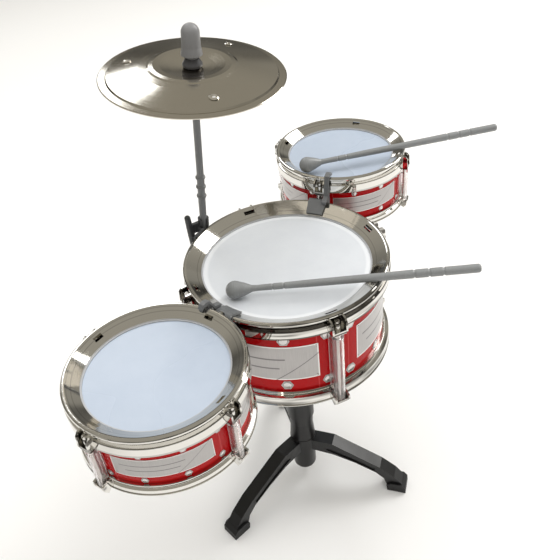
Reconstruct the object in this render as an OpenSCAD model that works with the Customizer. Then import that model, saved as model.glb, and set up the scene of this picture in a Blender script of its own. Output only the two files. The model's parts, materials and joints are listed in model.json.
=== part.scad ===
// Toy drum kit: a centre drum on a tripod post, two side drums and a cymbal hung on its rim, two sticks.
// Origin on the floor under the middle of the kit, +Z up, the side drums to +X and -X, the player at -Y.

/* [Stand] */
// Height of the centre drum's head above the floor
head_h = 268; // [240:1:330]
// Outside diameter of the socket under the centre drum
socket_d = 25.4; // [23:0.1:32]
// Diameter of the post that turns in the socket
post_d = 18; // [12:0.5:19]
// Height of the socket's lower end above the floor
socket_end_h = 87; // [80:1:110]
// Height of the hub's lowest point above the floor
hub_clear_h = 11; // [6:0.5:18]
// Diameter of the hub below the legs
hub_d = 22.4; // [20:0.2:30]
// Distance from the post's axis to the tip of a foot
leg_reach = 104; // [90:1:130]
// Width of a leg
leg_w = 13; // [9:0.5:15]
// Width of a foot
foot_w = 17; // [15:0.5:22]
// Direction of the front leg, in degrees from +X
leg_turn = -78.25; // [-90:0.25:-60]

/* [Centre drum] */
// Outside diameter of the rim
drum_d = 165; // [135:1:200]
// Depth from the head down to the lower rim's edge
drum_depth = 77.3; // [62:0.1:96]
// Width of the sloping rim, seen from above
drum_lip = 14.1; // [12.5:0.1:18]
// Height of the rim above the head
drum_rise = 8.7; // [8:0.1:12]
// Width of a lug
drum_lug_w = 9.6; // [7:0.1:12]
// How far a lug stands out of the rim
drum_lug_out = 6.5; // [5:0.1:8]
// Direction of the first lug, in degrees from +X
drum_lug_turn = 52.75; // [48:0.25:58]
// Height of the printed panels
drum_panel_h = 34; // [24:1:40]
// Width of a printed bolt head
drum_bolt_w = 9.6; // [6:0.2:12]

/* [Side drums] */
// Outside diameter of the rim
tom_d = 121.6; // [100:0.5:146]
// Depth from the head down to the lower rim's edge
tom_depth = 46.5; // [40:0.5:60]
// Width of the sloping rim, seen from above
tom_lip = 11.5; // [11:0.1:15]
// Height of the rim above the head
tom_rise = 7.4; // [7:0.1:10]
// Width of a lug
tom_lug_w = 7; // [5.5:0.1:8.5]
// How far a lug stands out of the rim
tom_lug_out = 4.6; // [4:0.1:4.8]
// Height of the printed panels
tom_panel_h = 16.5; // [10:0.5:20]
// Width of a printed bolt head
tom_bolt_w = 5.2; // [3:0.2:6]
// Gap between the rims of a side drum and the centre drum
rim_gap = 5.3; // [5:0.1:9]
// Angle by which both side drums sit behind the X axis
tom_turn = 6.65; // [0:0.05:12]
// Height of the left head above the centre head
left_lift = 12; // [8:0.5:24]
// Height of the right head above the centre head
right_lift = 21; // [8:0.5:26]

/* [Cymbal] */
// Diameter of the cymbal
cymbal_d = 137; // [110:1:166]
// Thickness of the sheet metal
cymbal_t = 0.6; // [0.5:0.1:1.2]
// Length of the rod from its foot to the cymbal's seat
rod_len = 142; // [118:1:172]
// Diameter of the rod
rod_d = 5.8; // [5:0.1:7]
// Lean of the rod towards the player, in degrees
rod_lean = 6.4; // [0:0.1:9]
// Direction of the rod's foot, in degrees from +X
rod_turn = 81.8; // [78:0.1:86]
// Height of the rod's foot above the centre head
rod_foot_z = 3.4; // [2:0.1:6]
// Diameter of the knob at its foot
knob_d = 15.8; // [12:0.1:18]
// Height of the knob
knob_h = 25.4; // [20:0.1:30]

/* [Sticks] */
// Length of a stick
stick_len = 189; // [160:1:226]
// Diameter of the bulb
bulb_d = 14; // [10:0.1:16]
// Diameter of the handle
handle_d = 6.7; // [5.5:0.1:8]
// Direction of the centre stick, in degrees from +X
centre_stick_turn = -63; // [-70:0.5:-58]
// Direction of the right stick, in degrees from +X
right_stick_turn = -50; // [-56:0.5:-46]

/* [Walls] */
// Thickness of a drum shell
shell_wall = 2.2; // [1.6:0.1:3]
// Thickness of the red wrap
wrap_t = 0.4; // [0.3:0.05:0.6]
// Thickness of the printed panels
panel_t = 0.3; // [0.2:0.05:0.4]
// Thickness of a drum head
head_t = 0.8; // [0.5:0.1:1.2]
// Thickness of the ring that holds a head
ring_t = 0.8; // [0.6:0.1:1]
// Thickness of the clips' walls
clip_wall = 1.8; // [1.4:0.1:2.4]
// Width of a clip along the rim
clip_w = 17; // [15:0.5:19]

/* [Fits] */
// Radial clearance of the post in its socket and of a screw in its hole
shaft_gap = 0.05; // [0.02:0.01:0.1]
// Clearance between a clip and the rim that it slides on
clip_gap = 0.35; // [0.3:0.05:0.5]
// Radial clearance of the cymbal's rod in its sleeve
sleeve_gap = 0.1; // [0.06:0.01:0.1]
// Clearance between loose pieces that rest on each other
rest_gap = 0.25; // [0.2:0.05:0.4]

/* [Hidden] */
$fn = 96;

drum_r = drum_d / 2;
tom_r = tom_d / 2;
tom_reach = drum_r + rim_gap + tom_r;
lug_count = 4;
panel_half_angle = 32.5;
bolt_angles = [-37.5, -13.5, 13.5, 37.5];
ear_wall = 1.4;
flange_t = 2;
plate_t = 3;
bead_r = 2;
bead_in = 2.2;
bead_start = 122;
drum_print_turn = 3.5;
tom_print_turn = -2.4;
screw_r = 1.3;
hub_ring_h = 15.5;
hub_ring_z = 41.5;
leg_root_r = hub_d / 2 + 1.2;
foot_len = 18;
bulb_s = bulb_d / 2;
handle_s = 139;

// One drum's sizes: rim radius, lip width, rise, depth, shell radius, lower band top, upper band foot,
// lug width, lug projection
drum_size = [drum_r, drum_lip, drum_rise, drum_depth, drum_r - 6.1, drum_depth - 13.2, 6.3,
             drum_lug_w, drum_lug_out];
tom_size = [tom_r, tom_lip, tom_rise, tom_depth, tom_r - 4, tom_depth - 9, 8,
            tom_lug_w, tom_lug_out];
function rim(s) = s[0];
function lip(s) = s[1];
function rise(s) = s[2];
function depth(s) = s[3];
function shell_r(s) = s[4];
function low_top(s) = -s[5];
function band_foot(s) = -s[6];
function lug_w(s) = s[7];
function lug_out(s) = s[8];
function wrap_r(s) = shell_r(s) + wrap_t;
function lip_r(s) = rim(s) - lip(s);
function lug_axis(s) = rim(s) + lug_out(s) - lug_w(s) / 2 - 0.4;

function arc(cx, cy, r, from, to, n) =
    [for (i = [0:n]) [cx + r * cos(from + (to - from) * i / n), cy + r * sin(from + (to - from) * i / n)]];
function reversed(list) = [for (i = [len(list) - 1:-1:0]) list[i]];

centre_bulb = [-52.2, 16.1] * drum_d / 165;
right_bulb = [-45.4, 12.4] * tom_d / 121.6;
rod_foot_r = drum_r + clip_gap + clip_wall + rod_d / 2 + 0.3;

// The stand's axis, measured from the middle of the kit's outline seen from above
side_x = tom_reach * cos(tom_turn);
left_x = -side_x - tom_r - tom_lug_out;
right_x = max(-left_x, side_x + right_bulb[0] + (stick_len - bulb_s) * cos(right_stick_turn) + 2.4);
near_y = centre_bulb[1] + (stick_len - bulb_s) * sin(centre_stick_turn) - 1.4;
far_y = rod_foot_r * sin(rod_turn) - rod_len * sin(rod_lean) + cymbal_d / 2 - 0.4;
axis_x = -(left_x + right_x) / 2;
axis_y = -(near_y + far_y) / 2;
module kit() translate([axis_x, axis_y, 0]) children();

module on_drum() translate([0, 0, head_h]) children();
module on_left() rotate(180 - tom_turn) translate([tom_reach, 0, head_h + left_lift]) children();
module on_right() rotate(tom_turn) translate([tom_reach, 0, head_h + right_lift]) children();

// ---- stand ----

module stand_post()
    color("#1a1a1b")
    rotate_extrude()
    polygon(concat(
        [[0, hub_ring_z + hub_ring_h]],
        [[post_d / 2, hub_ring_z + hub_ring_h], [post_d / 2, socket_end_h - 9]],
        [[socket_d / 2 - 1.35, socket_end_h - 9], [socket_d / 2 - 1.35, socket_end_h - rest_gap]],
        [[post_d / 2, socket_end_h - rest_gap]],
        arc(post_d / 2 - 1.5, head_h - drum_depth - 14, 1.5, 0, 90, 3),
        [[0, head_h - drum_depth - 12.5]]));

module hub_cone()
    color("#1a1a1b")
    rotate_extrude()
    polygon([[post_d / 2, hub_ring_z + hub_ring_h], [hub_d / 2 + 0.9, hub_ring_z + hub_ring_h],
             [hub_d / 2 - 0.6, socket_end_h - 9], [post_d / 2, socket_end_h - 9]]);

module leg_ring()
    color("#161617")
    translate([0, 0, hub_ring_z])
    rotate_extrude()
    polygon([[0, 0], [leg_root_r, 0], [leg_root_r, hub_ring_h - 1],
             [leg_root_r - 1, hub_ring_h], [0, hub_ring_h]]);

module hub_cap()
    color("#1a1a1b")
    rotate_extrude()
    polygon(concat(
        [[0, hub_clear_h]],
        arc(hub_d / 2 - 5, hub_clear_h + 5, 5, -90, 0, 5),
        [[hub_d / 2, hub_ring_z], [0, hub_ring_z]]));

// A leg's outline: out from the ring, down the slope, then steeper into the foot
leg_knee_r = leg_reach - 26;
leg_toe_r = leg_reach - 12;
module leg_outline()
    polygon([
        [0, hub_ring_z], [0, hub_ring_z + hub_ring_h - 2.5],
        [31, hub_ring_z + hub_ring_h - 3.5], [leg_knee_r, 30.5], [leg_toe_r, 20], [leg_reach - 3, 9],
        [leg_reach - 3, 4], [leg_reach - foot_len, 4], [leg_knee_r + 4, 15],
        [leg_knee_r - 4, 22], [54, 31], [32, 38]]);

module leg(turn)
    color("#151516")
    rotate(turn)
    difference() {
        union() {
            rotate([90, 0, 0]) linear_extrude(leg_w, center = true) leg_outline();
        }
        cylinder(r = leg_root_r, h = 3 * hub_ring_z, center = true);
        foot_block(0);
        for (side = [-1, 1])
            translate([0, side * (leg_w / 2 + 1), 0])
            rotate([90, 0, 0])
            linear_extrude(4.2, center = true)
            leg_pocket();
    }

// Shallow pocket along each side of a leg, which leaves a rib along its top
module leg_pocket()
    polygon([[24, hub_ring_z + 2], [31, hub_ring_z + 6], [leg_knee_r - 4, 27.5], [leg_knee_r - 6, 24],
             [52, 33.5], [32, 40.5]]);

module foot_block(grow)
    rotate([90, 0, 0])
    linear_extrude(foot_w + 2 * grow, center = true)
    polygon([[leg_reach - foot_len, 0], [leg_reach - foot_len - 1, 7], [leg_reach - foot_len + 3, 10.5],
             [leg_reach - 4, 10.5], [leg_reach - 0.6, 6.5], [leg_reach, 0]]);

module foot(turn)
    color("#101011")
    rotate(turn)
    foot_block(0);

// ---- parts that every drum has ----

module shell(s, floor_t)
    color("#8e1014")
    rotate_extrude()
    polygon([[shell_r(s) - shell_wall, -depth(s) + flange_t + floor_t], [shell_r(s), -depth(s) + flange_t + floor_t],
             [shell_r(s), -head_t], [shell_r(s) - shell_wall, -head_t]]);

module wrap(s, floor_t)
    color("#b0060c")
    rotate_extrude()
    polygon([[shell_r(s), -depth(s) + flange_t + floor_t], [wrap_r(s), -depth(s) + flange_t + floor_t],
             [wrap_r(s), -head_t - 0.4], [shell_r(s), -head_t - 0.4]]);

// Printed silver panels and bolt heads between the lugs
module panels(s, turn, lug_turn, panel_h, bolt_w) {
    mid = (band_foot(s) + low_top(s)) / 2;
    step = 360 / lug_count;
    color("#b9b6b4")
    for (i = [0:lug_count - 1])
        rotate(lug_turn + turn + step * (i + 0.5)) {
            intersection() {
                rotate([0, 0, -panel_half_angle])
                rotate_extrude(angle = 2 * panel_half_angle)
                translate([wrap_r(s), mid - panel_h / 2])
                square([panel_t, panel_h]);
            }
            for (a = bolt_angles, side = [-1, 1])
                rotate(a)
                intersection() {
                    translate([wrap_r(s) - 2, 0, mid + side * (panel_h / 2 + bolt_w * 0.63)])
                    rotate([0, 90, 0])
                    rotate(90)
                    cylinder(d = bolt_w, h = 6, $fn = 6);
                    difference() {
                        cylinder(r = wrap_r(s) + panel_t, h = 3 * depth(s), center = true);
                        cylinder(r = wrap_r(s), h = 4 * depth(s), center = true);
                    }
                }
        }
}

module head(s)
    color("#e4e7ea")
    translate([0, 0, -head_t])
    cylinder(r = rim(s) - 4.6, h = head_t);

module head_ring(s)
    color("#c9cbcd")
    rotate_extrude()
    translate([lip_r(s) - 1.2, 0])
    square([rim(s) - 5 - lip_r(s) + 1.2, ring_t]);

// Upper rim: sloping lip, bead, groove and band
module top_rim_profile(s)
    polygon(concat(
        [[lip_r(s) + 3.4, ring_t], [lip_r(s), ring_t], [lip_r(s), ring_t + 0.8]],
        arc(rim(s) - bead_in, rise(s) - bead_r, bead_r, bead_start, -25, 7),
        [[rim(s) - 2.5, rise(s) - 4.2], [rim(s) - 2.5, rise(s) - 6.2], [rim(s) - 0.4, rise(s) - 7]],
        [[rim(s), rise(s) - 7.6], [rim(s), band_foot(s) + 0.6], [rim(s) - 0.6, band_foot(s)]],
        [[rim(s) - 2.2, band_foot(s)], [rim(s) - 2.2, rise(s) - 8.6], [rim(s) - 4, rise(s) - 7]],
        [[rim(s) - 5.2, rise(s) - 3.6]]));

module top_hoop(s, turn)
    color("#b4ada3")
    difference() {
        union() {
            rotate_extrude() top_rim_profile(s);
            for (i = [0:lug_count - 1]) rotate(turn + i * 360 / lug_count) {
                top_ear(s);
                // floor of the pocket behind the ear
                translate([lip_r(s) + 2.4, -lug_w(s) / 2 - 0.6, ring_t + 0.1])
                cube([lip(s) - 7, lug_w(s) + 1.2, 0.8]);
            }
        }
        for (i = [0:lug_count - 1]) rotate(turn + i * 360 / lug_count) {
            translate([rim(s) - 8.4, -lug_w(s) / 2, ring_t + 0.9])
            cube([2.9, lug_w(s), rise(s)]);
            translate([lug_axis(s), 0, band_foot(s) - 1])
            cylinder(r = screw_r + shaft_gap, h = rise(s) + 20, $fn = 32);
        }
    }

// The ear that a lug hangs from: two wings, a floor and a screw boss
module top_ear(s) {
    floor_h = 3;
    for (side = [-1, 1])
        translate([0, side * (lug_w(s) / 2 + ear_wall / 2), 0])
        rotate([90, 0, 0])
        linear_extrude(ear_wall, center = true)
        polygon([[rim(s) - 1.2, band_foot(s) + 0.4], [rim(s) + lug_out(s) - 1, band_foot(s) + 0.4],
                 [rim(s) + lug_out(s), band_foot(s) + 2], [rim(s) + lug_out(s) - 0.6, rise(s) - 5],
                 [rim(s) + lug_out(s) - 2.6, rise(s) - 2.4], [rim(s) - 1.2, rise(s) - 1.6]]);
    translate([rim(s) - 1.2, -lug_w(s) / 2 - 0.2, band_foot(s)])
    cube([lug_out(s) + 0.8, lug_w(s) + 0.4, floor_h]);
    translate([lug_axis(s), 0, band_foot(s)])
    cylinder(r = min(lug_w(s) * 0.3, lug_out(s) * 0.5), h = rise(s) - band_foot(s) - 6.4, $fn = 32);
}

// Lower rim: thin lip, groove, band, bead and the flange that holds the lower head
module low_rim_profile(s)
    polygon(concat(
        [[wrap_r(s) + 0.1, low_top(s)], [wrap_r(s) + 1.6, low_top(s)], [wrap_r(s) + 1.9, low_top(s) - 0.5]],
        [[wrap_r(s) + 1.9, low_top(s) - 1.3], [wrap_r(s) + 1.2, low_top(s) - 1.7],
         [wrap_r(s) + 1.2, low_top(s) - 3], [rim(s) - 0.7, low_top(s) - 3.8]],
        [[rim(s) - 0.4, -depth(s) + 2.9], [rim(s) - 1, -depth(s) + 2.5]],
        arc(rim(s) - 1.1, -depth(s) + 1.1, 1.1, 60, -90, 4),
        [[wrap_r(s) - 5, -depth(s)], [wrap_r(s) - 5, -depth(s) + flange_t],
         [wrap_r(s) + 0.1, -depth(s) + flange_t]]));

module bottom_hoop(s, turn)
    color("#b4ada3")
    difference() {
        union() {
            rotate_extrude() low_rim_profile(s);
            for (i = [0:lug_count - 1]) rotate(turn + i * 360 / lug_count) bottom_ear(s);
        }
        for (i = [0:lug_count - 1]) rotate(turn + i * 360 / lug_count)
            translate([lug_axis(s), 0, -depth(s) - 4])
            cylinder(r = screw_r + shaft_gap, h = 14, $fn = 32);
    }

ear_top = 5.4;
module bottom_ear(s) {
    for (side = [-1, 1])
        translate([0, side * (lug_w(s) / 2 + ear_wall / 2), 0])
        rotate([90, 0, 0])
        linear_extrude(ear_wall, center = true)
        polygon([[rim(s) - 1.4, -depth(s) + 0.4], [rim(s) + lug_out(s) * 0.45, -depth(s) - 2.4],
                 [rim(s) + lug_out(s), -depth(s) + 1.4], [rim(s) + lug_out(s), -depth(s) + ear_top],
                 [rim(s) - 1.4, -depth(s) + ear_top + 1.6]]);
    translate([rim(s) - 1.4, -lug_w(s) / 2 - 0.2, -depth(s) + 0.4])
    cube([lug_out(s) + 1, lug_w(s) + 0.4, ear_top - 3.4]);
}

// Clear half-round columns between the ears
module lugs(s, turn)
    color("#e8e2e4")
    for (i = [0:lug_count - 1])
        rotate(turn + i * 360 / lug_count)
        difference() {
            translate([0, 0, -depth(s) + ear_top - 3])
            linear_extrude(depth(s) - ear_top + 3 + band_foot(s))
            union() {
                translate([lug_axis(s), 0]) circle(r = lug_w(s) / 2 - 0.2, $fn = 48);
                translate([wrap_r(s) + 1, -lug_w(s) / 2 + 0.2])
                square([lug_axis(s) - wrap_r(s) - 1, lug_w(s) - 0.4]);
            }
            translate([0, 0, -depth(s)])
            linear_extrude(depth(s) + band_foot(s) - 5)
            union() {
                translate([lug_axis(s), 0]) circle(r = lug_w(s) / 2 - 1.5, $fn = 48);
                translate([0, -lug_w(s) / 2 + 1.5]) square([lug_axis(s), lug_w(s) - 3]);
            }
            translate([lug_axis(s), 0, band_foot(s) - 6])
            cylinder(r = screw_r + shaft_gap, h = 8, $fn = 32);
            translate([0, 0, -2 * depth(s)])
            cylinder(r = rim(s) + 0.1, h = 2 * depth(s) + low_top(s) + 0.3);
        }

module tension_screws(s, turn)
    color("#c4c0b8")
    for (i = [0:lug_count - 1])
        rotate(turn + i * 360 / lug_count)
        translate([lug_axis(s), 0, 0])
        difference() {
            union() {
                translate([0, 0, -depth(s) + 1]) cylinder(r = screw_r, h = depth(s) + rise(s) - 7.4, $fn = 32);
                translate([0, 0, rise(s) - 6.4]) cylinder(r = 1.9, h = 1.9, $fn = 32);
            }
            translate([0, 0, rise(s) - 4.6]) cube([6, 0.8, 1.2], center = true);
        }

module bottom_head(s)
    color("#dfe4ee")
    translate([0, 0, -depth(s) + flange_t])
    cylinder(r = shell_r(s), h = head_t);

// ---- centre drum's own parts ----

module base_plate()
    color("#202022")
    translate([0, 0, head_h - drum_depth + flange_t])
    difference() {
        union() {
            cylinder(r = shell_r(drum_size), h = plate_t);
            for (i = [0:5]) rotate(i * 60) translate([10, -1, 0])
                cube([shell_r(drum_size) - shell_wall - 11, 2, plate_t + 4]);
        }
        cylinder(d = socket_d - 6, h = 3 * plate_t, center = true);
        for (a = [0:90:270]) rotate(a + 45) translate([socket_d / 2 + 5, 0, 0])
            cylinder(r = screw_r + shaft_gap, h = 40, center = true, $fn = 32);
    }

module post_socket()
    color("#1b1b1c")
    difference() {
        rotate_extrude()
        polygon([[0, socket_end_h], [socket_d / 2 - 0.6, socket_end_h], [socket_d / 2, socket_end_h + 0.6],
                 [socket_d / 2, head_h - drum_depth - 6], [socket_d / 2 + 9, head_h - drum_depth - 1],
                 [socket_d / 2 + 9, head_h - drum_depth + flange_t], [0, head_h - drum_depth + flange_t]]);
        translate([0, 0, socket_end_h - 1])
        cylinder(r = post_d / 2 + shaft_gap, h = head_h - drum_depth - 11.5 - socket_end_h + 1);
        for (a = [0:90:270]) rotate(a + 45) translate([socket_d / 2 + 5, 0, head_h - drum_depth])
            cylinder(r = screw_r + shaft_gap, h = 40, center = true, $fn = 32);
    }

module base_screws()
    color("#a9a7a2")
    for (a = [0:90:270])
        rotate(a + 45)
        translate([socket_d / 2 + 5, 0, head_h - drum_depth + flange_t + plate_t]) {
            cylinder(r = 2.4, h = 1.6, $fn = 32);
            translate([0, 0, -plate_t - 2]) cylinder(r = screw_r, h = plate_t + 2, $fn = 32);
        }

// ---- clips on the centre rim ----

lip_low = [lip_r(drum_size), ring_t + 0.8];
bead_at = [drum_r - bead_in, drum_rise - bead_r];
bead_edge = bead_at + bead_r * [cos(bead_start), sin(bead_start)];
lip_dir = (bead_edge - lip_low) / norm(bead_edge - lip_low);
lip_up = [-lip_dir[1], lip_dir[0]];
// Points at one distance from the rim's outline, from the tongue's end over the bead and down outside
function saddle_line(out, foot, tongue) = concat(
    tongue ? [lip_low + 1.2 * lip_dir + out * lip_up] : [],
    arc(bead_at[0], bead_at[1], bead_r + out, tongue ? bead_start : 80, 12, 5),
    [[drum_r + out, drum_rise - 3.6], [drum_r + out, foot]]);

module saddle(width, foot, tongue) {
    half = width / 2 / drum_r * 180 / PI;
    rotate(-half)
    rotate_extrude(angle = 2 * half)
    polygon(concat(saddle_line(clip_gap, foot, tongue),
                   reversed(saddle_line(clip_gap + clip_wall, foot, tongue))));
}

// A side drum's clip: a saddle on the centre rim and a fin with a flanged top that hooks over the drum's rim
module clip(lift) {
    fin_w = 2.6;
    cap_w = 4.2;
    cap_t = 2;
    fin_y = -clip_w / 2 + fin_w / 2;
    chord = tom_r - sqrt(tom_r * tom_r - fin_y * fin_y);
    near_x = drum_r + rim_gap + chord;
    top_z = lift + tom_rise;
    low = drum_rise + clip_gap;
    lug_half = tom_lug_w / 2 + ear_wall + 0.4;
    color("#707174")
    union() {
        difference() {
            saddle(clip_w, -2.5, true);
            // room for the lug that faces the centre drum
            translate([drum_r + 0.2, -lug_half, -20])
            cube([10, 2 * lug_half, 40]);
        }
        translate([0, fin_y, 0]) {
            rotate([90, 0, 0])
            linear_extrude(fin_w, center = true)
            polygon([[drum_r - 7, low], [drum_r - 7, low + clip_wall + 1.2], [drum_r - 1, low + clip_wall + 3],
                     [near_x - 2, top_z + 2.2], [near_x + 1.4, top_z + 3.2], [near_x + 4.2, top_z + 3],
                     [near_x + 6.2, top_z + 0.8], [near_x + 6.1, top_z - 1.4], [near_x + 3.6, top_z + 0.3],
                     [near_x - 0.35, top_z + 0.3], [near_x - 0.35, low - 4],
                     [drum_r + clip_gap + 0.4, -2.5], [drum_r + clip_gap + 0.4, low]]);
            rotate([90, 0, 0])
            linear_extrude(cap_w, center = true)
            polygon([[drum_r - 7.6, low + clip_wall - 0.6], [drum_r - 7.6, low + clip_wall + 1.2],
                     [drum_r - 1.2, low + clip_wall + 1.6 + cap_t], [near_x - 2.4, top_z + 1.4 + cap_t],
                     [near_x + 1.4, top_z + 2.4 + cap_t], [near_x + 4.4, top_z + 2 + cap_t],
                     [near_x + 6.6, top_z + 1], [near_x + 6, top_z + 0.2],
                     [near_x + 4, top_z + 2], [near_x + 1.4, top_z + 2.4], [near_x - 1.4, top_z + 1.6],
                     [drum_r - 0.6, low + clip_wall + 1.4]]);
        }
    }
}

// ---- cymbal, its rod and its bracket ----

module on_rod()
    translate([rod_foot_r * cos(rod_turn), rod_foot_r * sin(rod_turn), head_h + rod_foot_z])
    rotate([rod_lean, 0, 0])
    children();

sleeve_h = 14;
sleeve_wall = 1.8;
post_turn = 88.8;
post_r = drum_r + 10.4;
bracket_low = -18;
module cymbal_bracket() {
    foot = [rod_foot_r * cos(rod_turn), rod_foot_r * sin(rod_turn)];
    post = [post_r * cos(post_turn), post_r * sin(post_turn)];
    run = foot - post;
    run_turn = atan2(run[1], run[0]);
    color("#4a4b4d")
    difference() {
        union() {
            rotate(post_turn + 1.2)
            on_drum() saddle(clip_w * 0.8, bracket_low, false);
            translate([post[0], post[1], head_h])
            rotate([0, -4, 0])
            bracket_upright();
            // web between the upright and the saddle
            rotate(post_turn)
            translate([drum_r + clip_gap + 0.6, -2, head_h + bracket_low + 1])
            cube([post_r - drum_r - 1, 4, 11]);
            // slanting bar from the saddle's top to the arm
            hull() {
                rotate(post_turn - 2.6)
                translate([drum_r + clip_gap + 0.7, -1, head_h + rod_foot_z + 1.5])
                cube([1, 2, 3]);
                translate([(post[0] + foot[0]) / 2, (post[1] + foot[1]) / 2, head_h + rod_foot_z + 2])
                cylinder(r = 1.1, h = 4, $fn = 24);
            }
            // arm from the upright to the sleeve
            translate([post[0], post[1], head_h + rod_foot_z + 0.6])
            rotate(run_turn)
            translate([0, -1.7, 0])
            cube([norm(run) - rod_d / 2 - 0.6, 3.4, 8.4]);
            on_rod() translate([0, 0, -2]) cylinder(d = rod_d + 2 * sleeve_wall, h = sleeve_h, $fn = 48);
        }
        on_rod() translate([0, 0, -rest_gap]) cylinder(r = rod_d / 2 + sleeve_gap, h = 60);
        // the sleeve is open towards the player's left
        on_rod() rotate(-130) translate([0, -rod_d * 0.36, 0.8]) cube([20, rod_d * 0.72, 60]);
    }
}

// Tapered upright with a round top
module bracket_upright()
    rotate_extrude($fn = 48)
    polygon(concat(
        [[0, bracket_low + 1.5], [2.4, bracket_low + 1.5], [3.1, bracket_low + 3], [3, 6], [2.6, 20]],
        arc(0, 20.4, 2.6, 8, 90, 6)));

seat_h = 3;
tip_d = rod_d - 1.4;
bell_z = 5.1;
module cymbal_rod()
    color("#77787a")
    on_rod()
    rotate_extrude()
    polygon(concat(
        [[0, 0]],
        arc(rod_d / 2 - 1.8, 1.8, 1.8, -90, 0, 4),
        [for (z = [35, 44, 53], p = arc(rod_d / 2 - 0.3, z, 1.6, -70, 70, 4)) [max(p[0], rod_d / 2 - 0.5), p[1]]],
        [[rod_d / 2, 57], [rod_d / 2, rod_len + bell_z - seat_h], [tip_d / 2, rod_len + bell_z - seat_h],
         [tip_d / 2, rod_len + bell_z + 16], [0, rod_len + bell_z + 16]]));

module cymbal_seat()
    color("#2d2e30")
    on_rod()
    translate([0, 0, rod_len + bell_z - seat_h])
    rotate_extrude()
    polygon([[tip_d / 2, 0], [rod_d / 2 + 1.5, 0], [rod_d / 2 + 2.6, seat_h - 0.6],
             [rod_d / 2 + 2.6, seat_h - rest_gap], [tip_d / 2, seat_h - rest_gap]]);

cymbal_r = cymbal_d / 2;
crease_r = cymbal_r * 0.485;
step_r = cymbal_r - 6.4;
// The sheet's upper line from the hole to the edge
function cymbal_top() = concat(
    [[tip_d / 2 + 0.4, bell_z], [8.2, bell_z], [crease_r * 0.5, bell_z + 1.3], [crease_r * 0.72, bell_z + 2.9],
     [crease_r * 0.86, bell_z + 3.2], [crease_r * 0.95, bell_z + 2.7], [crease_r, bell_z + 2]],
    [for (i = [1:5]) [crease_r + (step_r - crease_r) * i / 5, bell_z + 2 - 5.1 * pow(i / 5, 1.12)]],
    [[step_r + 0.9, 0.7], [cymbal_r - 0.6, 0.3], [cymbal_r, -0.2]]);
module cymbal()
    color("#8a8478")
    on_rod()
    translate([0, 0, rod_len])
    difference() {
        rotate_extrude()
        polygon(concat(cymbal_top(), reversed([for (p = cymbal_top()) [p[0], p[1] + cymbal_t]])));
        at_eyelets() cylinder(r = eyelet_hole_r, h = 8, center = true, $fn = 32);
    }

eyelet_r = cymbal_r * 0.73;
eyelet_hole_r = 2.1;
eyelet_angles = [108, -130, 0];
function bow_z(r) = bell_z + 2 - 5.1 * pow((r - crease_r) / (step_r - crease_r), 1.12);
module at_eyelets()
    for (a = eyelet_angles)
        rotate(a)
        translate([eyelet_r, 0, bow_z(eyelet_r) + cymbal_t])
        rotate([0, 10, 0])
        children();

module cymbal_eyelets()
    color("#d9d6cf")
    on_rod()
    translate([0, 0, rod_len])
    at_eyelets()
    rotate_extrude($fn = 32)
    polygon([[1.3, -cymbal_t - 0.8], [eyelet_hole_r - 0.05, -cymbal_t - 0.8], [eyelet_hole_r - 0.05, 0.15],
             [3.4, 0.15], [3.4, 0.6], [2.6, 1.1], [1.7, 1.1], [1.3, 0.6]]);

flange_h = 6.5;
flange_z = rod_len + bell_z + cymbal_t + rest_gap;
module knob_flange()
    color("#45464a")
    on_rod()
    translate([0, 0, flange_z])
    rotate_extrude()
    polygon([[tip_d / 2 + 0.1, 0], [6.2, 0], [7.4, 1.2], [7.4, 2.6], [5, flange_h], [tip_d / 2 + 0.1, flange_h]]);

module cymbal_knob()
    color("#9b9c9e")
    on_rod()
    translate([0, 0, flange_z + flange_h])
    difference() {
        rotate_extrude()
        polygon(concat(
            [[0, 0], [4.2, 0], [4.2, 1.6], [knob_d / 2 - 1, 2.2], [knob_d / 2, 3], [knob_d / 2 - 0.3, 4.6],
             [knob_d / 2 - 1, 9]],
            arc(0, knob_h - knob_d / 2 + 1.2, knob_d / 2 - 1.2, 0, 90, 8)));
        translate([0, 0, -1])
        cylinder(r = tip_d / 2 + shaft_gap, h = 16 - cymbal_t - rest_gap - flange_h + 1.3, $fn = 48);
    }

// ---- sticks ----

// A stick along +X from the tip of its bulb
module stick() {
    neck_s = 24;
    rotate([0, 90, 0])
    rotate_extrude($fn = 48)
    polygon(concat(
        [[0, 0]],
        arc(0, bulb_d / 2, bulb_d / 2, -70, 20, 6),
        [[bulb_d * 0.36, bulb_d * 1.02], [2.6, neck_s - 4], [2.3, neck_s], [2.45, 34.6]],
        [for (g = [35.6, 44]) for (p = [[2.5, g - 0.9], [2, g], [2.55, g + 0.9]]) p],
        [[2.8, 60], [handle_d / 2 - 0.15, handle_s - 12]],
        [for (g = [handle_s + 1.8, handle_s + 12.6, handle_s + 23.2])
            for (p = [[handle_d / 2, g - 1.2], [handle_d / 2 - 0.7, g], [handle_d / 2, g + 1.2]]) p],
        arc(handle_d / 2 - 2, stick_len - 2, 2, 0, 90, 4),
        [[0, stick_len]]));
}

// Height of a bulb's middle over the head: on the head itself, on the rim's inner edge, or on its slope
function bulb_z(s, at) =
    let (reach = bulb_d / 2 + rest_gap,
         edge = [rim(s) - bead_in + bead_r * cos(bead_start), rise(s) - bead_r + bead_r * sin(bead_start)],
         low = [lip_r(s), ring_t + 0.8],
         slope = atan2(edge[1] - low[1], edge[0] - low[0]),
         past = norm(at) - lip_r(s))
    max(reach,
        abs(past) < reach ? low[1] + sqrt(reach * reach - past * past) : 0,
        past + reach * sin(slope) > 0 ? low[1] + (reach + past * sin(slope)) / cos(slope) : 0);

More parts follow.
